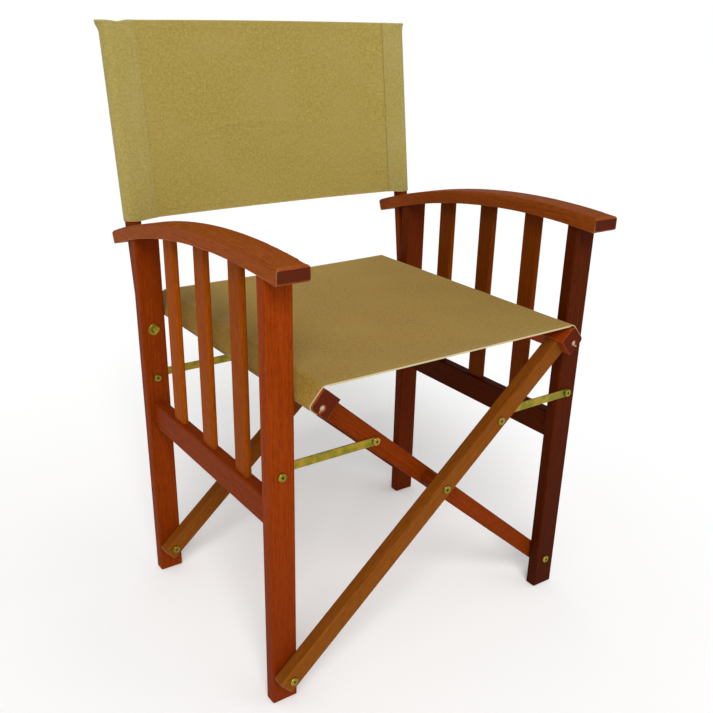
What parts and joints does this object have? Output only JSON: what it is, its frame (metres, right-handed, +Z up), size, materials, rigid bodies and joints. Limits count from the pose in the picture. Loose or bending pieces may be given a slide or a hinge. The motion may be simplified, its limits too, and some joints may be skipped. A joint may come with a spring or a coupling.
{
  "type": "folding chair",
  "caption": "Hardwood folding director's chair with slatted sides, curved arms, crossed members and canvas seat and back slings.",
  "frame": {"origin": "on the floor, at the middle of the open chair's outline seen from above", "axes": "+Z up, -Y towards the sitter's front, +X towards the sitter's left hand"},
  "size_m": [0.576, 0.5462, 0.9121],
  "materials": {
    "stained_hardwood": "reddish-brown oiled satin, open grain",
    "light_hardwood": "lighter tan-brown oiled satin, open grain",
    "pale_dowel": "unstained dowel, matt",
    "canvas": "khaki olive woven canvas, matt",
    "yellow_zinc": "yellow passivated zinc plate, satin"
  },
  "bodies": {
    "left_frame": {"left_front_leg": "stained_hardwood", "left_rear_leg": "stained_hardwood", "left_lower_rail": "stained_hardwood", "left_slat_1": "stained_hardwood", "left_slat_2": "stained_hardwood", "left_slat_3": "stained_hardwood", "left_arm": "stained_hardwood", "left_back_post": "stained_hardwood", "left_foot_bolts": "yellow_zinc", "left_foot_washers": "yellow_zinc", "left_stay_leg_bolts": "yellow_zinc", "left_stay_leg_nuts": "yellow_zinc", "left_post_tnut": "yellow_zinc", "left_post_bolt": "yellow_zinc", "left_foot_nuts": "yellow_zinc", "back_sling": "canvas"},
    "right_frame": {"right_front_leg": "stained_hardwood", "right_rear_leg": "stained_hardwood", "right_lower_rail": "stained_hardwood", "right_slat_1": "stained_hardwood", "right_slat_2": "stained_hardwood", "right_slat_3": "stained_hardwood", "right_arm": "stained_hardwood", "right_back_post": "stained_hardwood", "right_foot_bolts": "yellow_zinc", "right_foot_washers": "yellow_zinc", "right_stay_leg_bolts": "yellow_zinc", "right_stay_leg_nuts": "yellow_zinc", "right_post_tnut": "yellow_zinc", "right_post_bolt": "yellow_zinc", "right_foot_nuts": "yellow_zinc"},
    "cross_a": {"cross_member_a_front": "light_hardwood", "cross_member_a_rear": "light_hardwood", "right_seat_rail": "stained_hardwood", "right_hem_dowel": "pale_dowel", "right_stay_member_bolts": "yellow_zinc", "crossing_bolts": "yellow_zinc", "crossing_nuts": "yellow_zinc", "crossing_spacers": "stained_hardwood", "seat_sling": "canvas"},
    "cross_b": {"cross_member_b_front": "stained_hardwood", "cross_member_b_rear": "stained_hardwood", "left_seat_rail": "stained_hardwood", "left_hem_dowel": "pale_dowel", "left_stay_member_bolts": "yellow_zinc"},
    "left_stays": {"left_front_stay": "yellow_zinc", "left_rear_stay": "yellow_zinc", "left_stay_end_bolts": "yellow_zinc"},
    "right_stays": {"right_front_stay": "yellow_zinc", "right_rear_stay": "yellow_zinc", "right_stay_end_bolts": "yellow_zinc"}
  },
  "joints": [
    {"name": "left_foot_pivot", "type": "hinge", "parent": "left_frame", "child": "cross_a", "pos_m": [-0.265, -0.02407, 0.052], "axis": [0, -1, 0], "range_deg": [0, 30.85]},
    {"name": "crossing_pivot", "type": "hinge", "parent": "cross_a", "child": "cross_b", "pos_m": [0, -0.02407, 0.2844], "axis": [0, -1, 0], "range_deg": [-67.51, 0], "deforming": ["seat_sling"]},
    {"name": "right_foot_pivot", "type": "hinge", "parent": "cross_b", "child": "right_frame", "pos_m": [0.265, -0.02407, 0.052], "axis": [0, -1, 0], "range_deg": [0, 30.86], "deforming": ["back_sling"]},
    {"name": "left_stay_pivot", "type": "hinge", "parent": "left_frame", "child": "left_stays", "pos_m": [-0.265, -0.02407, 0.37129], "axis": [0, -1, 0], "range_deg": [0, 60.9]},
    {"name": "right_stay_pivot", "type": "hinge", "parent": "right_frame", "child": "right_stays", "pos_m": [0.265, -0.02407, 0.37129], "axis": [0, -1, 0], "range_deg": [-60.9, 0]}
  ],
  "couplings": [
    {"joint": "crossing_pivot", "follows": "left_foot_pivot", "ratio": -2.188},
    {"joint": "right_foot_pivot", "follows": "left_foot_pivot", "ratio": 1},
    {"joint": "left_stay_pivot", "follows": "left_foot_pivot", "ratio": 1.9739},
    {"joint": "right_stay_pivot", "follows": "left_foot_pivot", "ratio": -1.9739}
  ]
}
